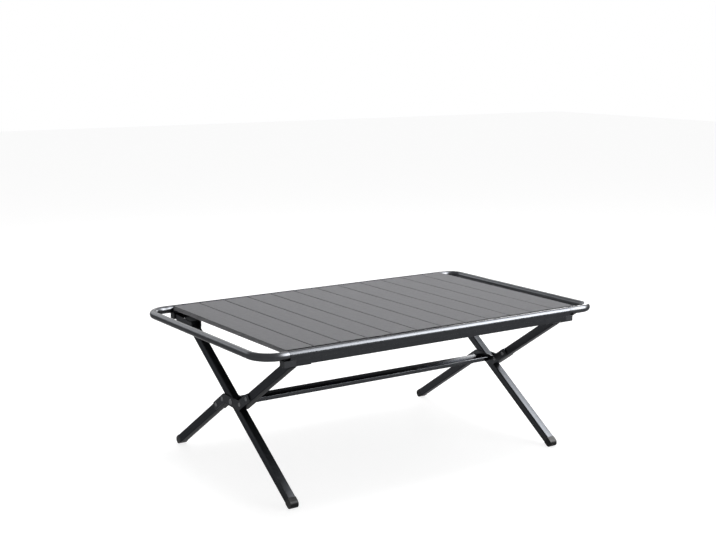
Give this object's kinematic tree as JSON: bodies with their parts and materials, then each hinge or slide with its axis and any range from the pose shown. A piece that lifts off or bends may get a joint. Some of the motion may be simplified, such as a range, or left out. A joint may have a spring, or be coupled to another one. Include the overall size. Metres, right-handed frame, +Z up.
{
  "type": "folding camp table",
  "caption": "Low folding camp table: roll-up slat top between two rails with round end loops, on crossed square-tube legs joined by a flat stretcher.",
  "frame": {"origin": "on the ground under the middle of the table's overall box", "axes": "+Z up; +X along the rails, from the wide hanging loop to the short end loop; +Y from the front rail, whose legs are made of two half tubes, to the back rail"},
  "size_m": [1.165, 0.6902, 0.427],
  "materials": {
    "dark_aluminium": "satin dark grey anodised",
    "slat_aluminium": "satin grey anodised",
    "cast_aluminium": "fine cast, painted grey",
    "steel": "satin",
    "dark_plastic": "matte moulded",
    "nylon": "matte moulded"
  },
  "bodies": {
    "stretcher_frame": {"pivot_bolt_left": "steel", "pivot_bolt_right": "steel", "stretcher": "dark_aluminium", "stretcher_end_left": "cast_aluminium", "stretcher_end_right": "cast_aluminium"},
    "front_legs": {"front_leg_foot_left": "dark_plastic", "front_leg_foot_right": "dark_plastic", "front_leg_lower_left": "dark_aluminium", "front_leg_lower_right": "dark_aluminium", "front_leg_top_pin_left": "steel", "front_leg_top_pin_right": "steel", "front_leg_upper_left": "dark_aluminium", "front_leg_upper_right": "dark_aluminium", "hub_plate_left_leg_left_face": "dark_aluminium", "hub_plate_left_leg_right_face": "dark_aluminium", "hub_plate_right_leg_left_face": "dark_aluminium", "hub_plate_right_leg_right_face": "dark_aluminium", "hub_rivet_left_1": "steel", "hub_rivet_left_2": "steel", "hub_rivet_left_3": "steel", "hub_rivet_left_4": "steel", "hub_rivet_right_1": "steel", "hub_rivet_right_2": "steel", "hub_rivet_right_3": "steel", "hub_rivet_right_4": "steel"},
    "back_legs": {"back_leg_foot_left": "dark_plastic", "back_leg_foot_right": "dark_plastic", "back_leg_left": "dark_aluminium", "back_leg_right": "dark_aluminium", "back_leg_top_pin_left": "steel", "back_leg_top_pin_right": "steel", "pivot_bushing_left": "nylon", "pivot_bushing_right": "nylon"},
    "tabletop": {"back_bracket_left": "cast_aluminium", "back_bracket_right": "cast_aluminium", "back_rail": "dark_aluminium", "back_rail_bead": "dark_aluminium", "front_bracket_left": "cast_aluminium", "front_bracket_right": "cast_aluminium", "front_rail": "dark_aluminium", "front_rail_bead": "dark_aluminium", "slat_01": "slat_aluminium"},
    "roll_slat_02": {"slat_02": "slat_aluminium"},
    "roll_slat_03": {"slat_03": "slat_aluminium"},
    "roll_slat_04": {"slat_04": "slat_aluminium"},
    "roll_slat_05": {"slat_05": "slat_aluminium"},
    "roll_slat_06": {"slat_06": "slat_aluminium"},
    "roll_slat_07": {"slat_07": "slat_aluminium"},
    "roll_slat_08": {"slat_08": "slat_aluminium"},
    "roll_slat_09": {"slat_09": "slat_aluminium"},
    "roll_slat_10": {"slat_10": "slat_aluminium"},
    "roll_slat_11": {"slat_11": "slat_aluminium"},
    "roll_slat_12": {"slat_12": "slat_aluminium"},
    "left_loop": {"hang_loop": "dark_aluminium"},
    "right_loop": {"end_loop": "dark_aluminium", "end_loop_collar_back": "dark_plastic", "end_loop_collar_front": "dark_plastic"}
  },
  "joints": [
    {"name": "front_legs_fold", "type": "hinge", "parent": "stretcher_frame", "child": "front_legs", "pos_m": [0, -0.0119, 0.2146], "axis": [-1, 0, 0], "range_deg": [0, 55]},
    {"name": "back_legs_fold", "type": "hinge", "parent": "stretcher_frame", "child": "back_legs", "pos_m": [0, -0.0119, 0.2146], "axis": [1, 0, 0], "range_deg": [0, 55]},
    {"name": "tabletop_lift", "type": "slide", "parent": "stretcher_frame", "child": "tabletop", "axis": [0, 0, 1], "range_m": [0, 0.77]},
    {"name": "slat_02_roll", "type": "hinge", "parent": "tabletop", "child": "roll_slat_02", "pos_m": [-0.4085, 0, 0.427], "axis": [0, -1, 0], "range_deg": [0, 42]},
    {"name": "slat_03_roll", "type": "hinge", "parent": "roll_slat_02", "child": "roll_slat_03", "pos_m": [-0.3255, 0, 0.427], "axis": [0, -1, 0], "range_deg": [0, 42]},
    {"name": "slat_04_roll", "type": "hinge", "parent": "roll_slat_03", "child": "roll_slat_04", "pos_m": [-0.2425, 0, 0.427], "axis": [0, -1, 0], "range_deg": [0, 42]},
    {"name": "slat_05_roll", "type": "hinge", "parent": "roll_slat_04", "child": "roll_slat_05", "pos_m": [-0.1595, 0, 0.427], "axis": [0, -1, 0], "range_deg": [0, 42]},
    {"name": "slat_06_roll", "type": "hinge", "parent": "roll_slat_05", "child": "roll_slat_06", "pos_m": [-0.0765, 0, 0.427], "axis": [0, -1, 0], "range_deg": [0, 42]},
    {"name": "slat_07_roll", "type": "hinge", "parent": "roll_slat_06", "child": "roll_slat_07", "pos_m": [0.0065, 0, 0.427], "axis": [0, -1, 0], "range_deg": [0, 42]},
    {"name": "slat_08_roll", "type": "hinge", "parent": "roll_slat_07", "child": "roll_slat_08", "pos_m": [0.0895, 0, 0.427], "axis": [0, -1, 0], "range_deg": [0, 44]},
    {"name": "slat_09_roll", "type": "hinge", "parent": "roll_slat_08", "child": "roll_slat_09", "pos_m": [0.1725, 0, 0.427], "axis": [0, -1, 0], "range_deg": [0, 60]},
    {"name": "slat_10_roll", "type": "hinge", "parent": "roll_slat_09", "child": "roll_slat_10", "pos_m": [0.2555, 0, 0.427], "axis": [0, -1, 0], "range_deg": [0, 60]},
    {"name": "slat_11_roll", "type": "hinge", "parent": "roll_slat_10", "child": "roll_slat_11", "pos_m": [0.3385, 0, 0.427], "axis": [0, -1, 0], "range_deg": [0, 60]},
    {"name": "slat_12_roll", "type": "hinge", "parent": "roll_slat_11", "child": "roll_slat_12", "pos_m": [0.4215, 0, 0.427], "axis": [0, -1, 0], "range_deg": [0, 60]},
    {"name": "left_loop_pull", "type": "slide", "parent": "tabletop", "child": "left_loop", "axis": [-1, 0, 0], "range_m": [0, 0.06]},
    {"name": "right_loop_pull", "type": "slide", "parent": "tabletop", "child": "right_loop", "axis": [1, 0, 0], "range_m": [0, 0.06]}
  ],
  "couplings": [
    {"joint": "back_legs_fold", "follows": "front_legs_fold", "ratio": 1},
    {"joint": "tabletop_lift", "follows": "front_legs_fold", "m_per_rad": 0.8},
    {"joint": "slat_02_roll", "follows": "slat_12_roll", "ratio": 0.7},
    {"joint": "slat_03_roll", "follows": "slat_12_roll", "ratio": 0.7},
    {"joint": "slat_04_roll", "follows": "slat_12_roll", "ratio": 0.7},
    {"joint": "slat_05_roll", "follows": "slat_12_roll", "ratio": 0.7},
    {"joint": "slat_06_roll", "follows": "slat_12_roll", "ratio": 0.7},
    {"joint": "slat_07_roll", "follows": "slat_12_roll", "ratio": 0.7},
    {"joint": "slat_08_roll", "follows": "slat_12_roll", "ratio": 0.73333},
    {"joint": "slat_09_roll", "follows": "slat_12_roll", "ratio": 1},
    {"joint": "slat_10_roll", "follows": "slat_12_roll", "ratio": 1},
    {"joint": "slat_11_roll", "follows": "slat_12_roll", "ratio": 1}
  ]
}
